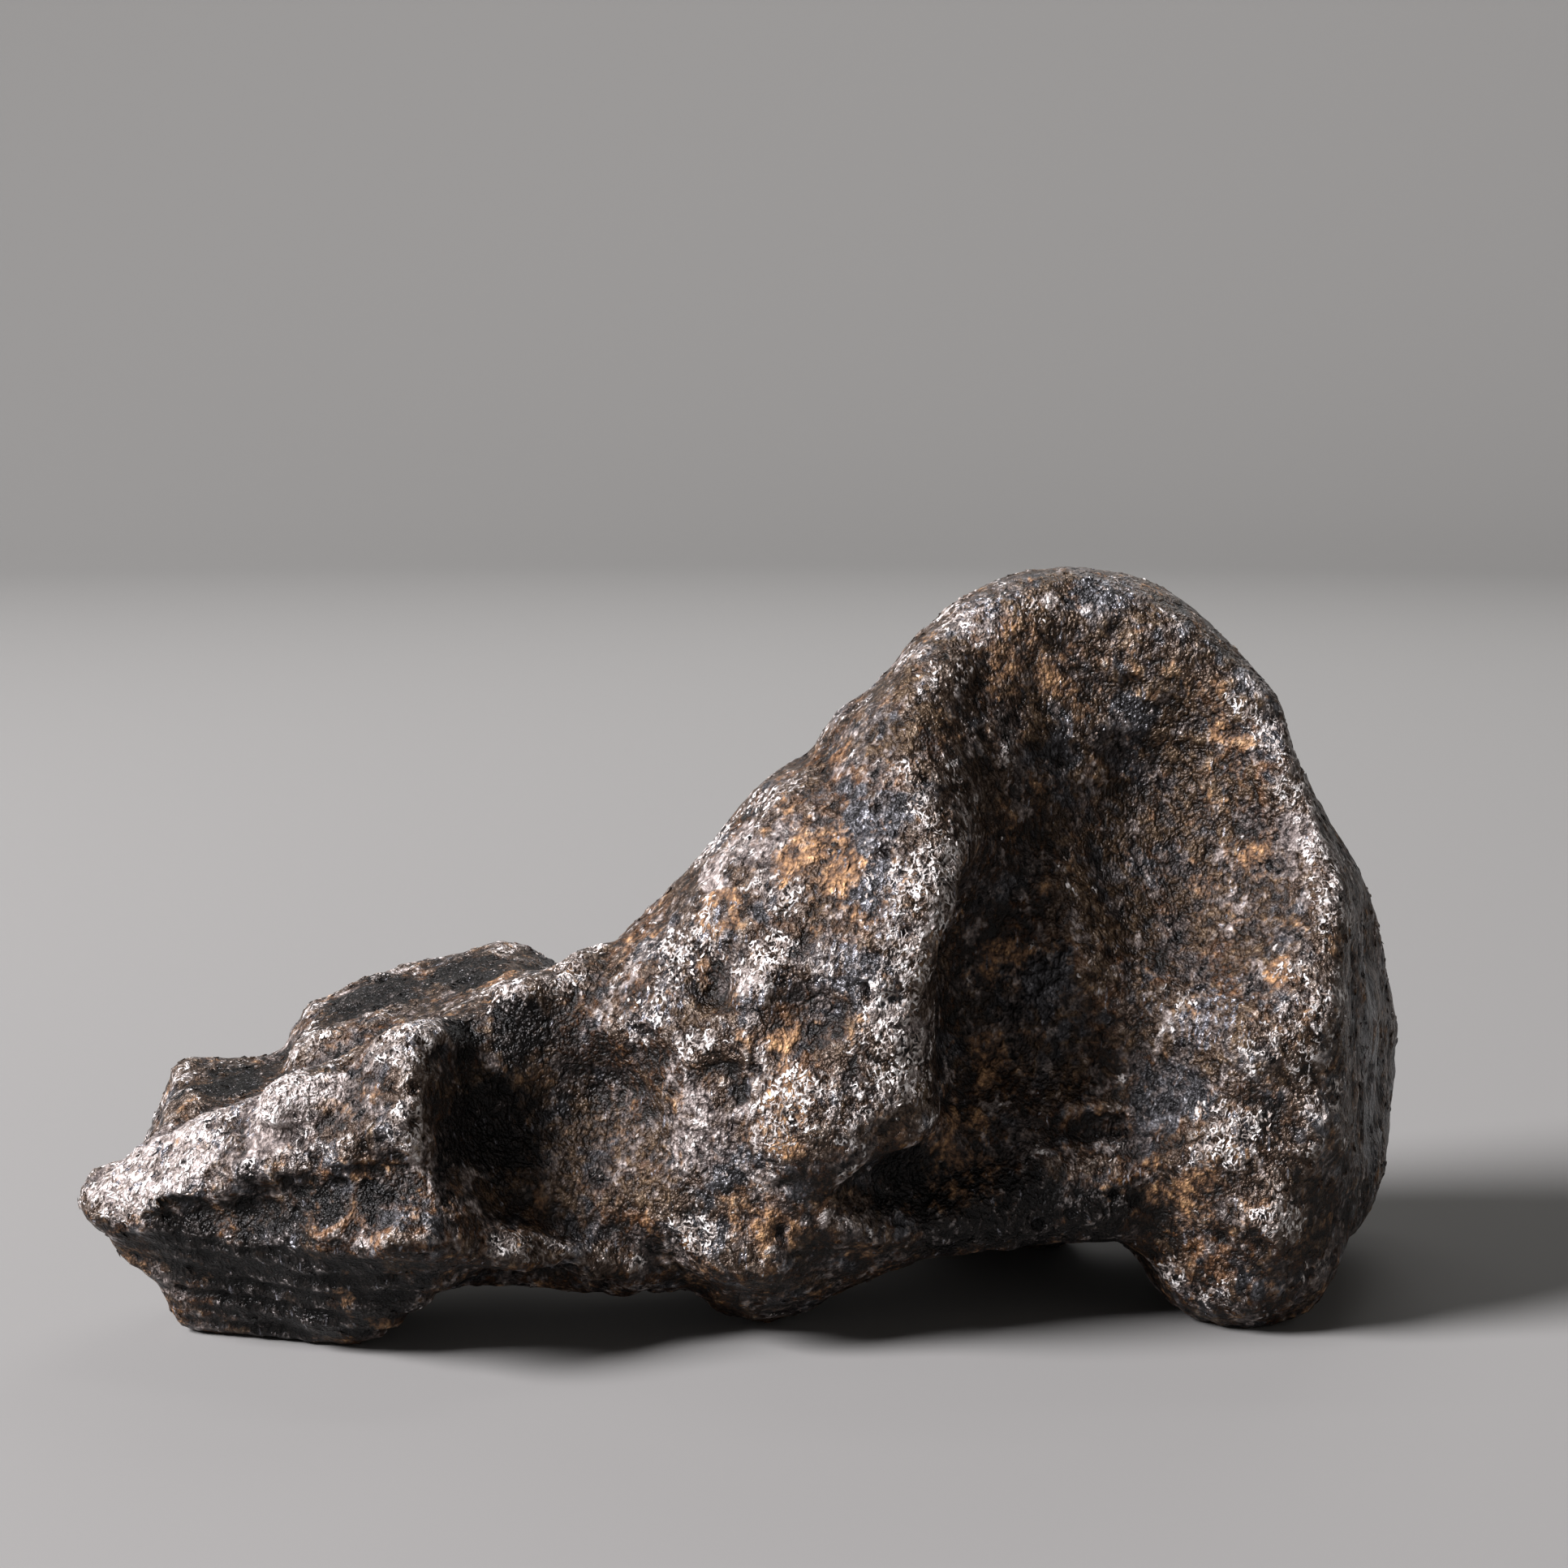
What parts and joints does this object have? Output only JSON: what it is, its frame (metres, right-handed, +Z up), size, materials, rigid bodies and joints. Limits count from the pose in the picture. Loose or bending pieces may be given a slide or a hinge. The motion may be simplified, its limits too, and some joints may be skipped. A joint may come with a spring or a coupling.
{
  "type": "iron meteorite",
  "caption": "Whole natural iron meteorite: a heavy dark lump with a tall rounded crest, a long low spur and thumbprint hollows, standing on worn feet.",
  "frame": {"origin": "on the surface it stands on, under the middle of its bounding box", "axes": "+X along the length from the spur's tip to the crest's end, +Y away from the hollowed front, +Z up"},
  "size_m": [0.098, 0.0424, 0.0543],
  "materials": {
    "weathered_iron": "natural nickel-iron surface, wire-cleaned and waxed: gunmetal with semi-gloss glints, warm brown in the hollows, patches of orange rust and pale mineral crust"
  },
  "bodies": {
    "root": {"meteorite": "weathered_iron"}
  },
  "joints": []
}
